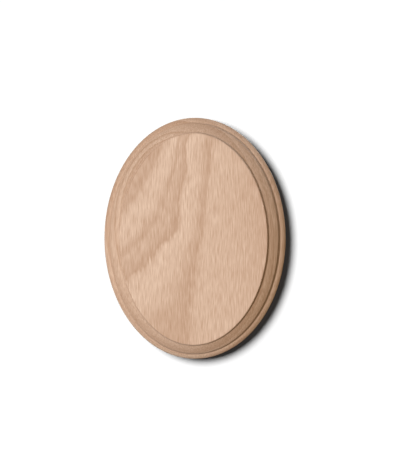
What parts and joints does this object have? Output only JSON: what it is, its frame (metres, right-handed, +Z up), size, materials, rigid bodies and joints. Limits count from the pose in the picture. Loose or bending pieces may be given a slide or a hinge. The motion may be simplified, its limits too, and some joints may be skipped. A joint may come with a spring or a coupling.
{
  "type": "oval handrail rosette",
  "caption": "Oval plate of bare oak with a flat face and a moulded edge, which backs the end of a handrail on a wall or newel.",
  "frame": {"origin": "centre of the flat back face, which lies against the wall or newel", "axes": "+Z up along the long axis of the oval, +Y into the wall, +X to the right as seen from the front"},
  "size_m": [0.134, 0.019, 0.178],
  "materials": {
    "oak": "sanded smooth, unfinished red oak"
  },
  "bodies": {
    "root": {"rosette": "oak"}
  },
  "joints": []
}
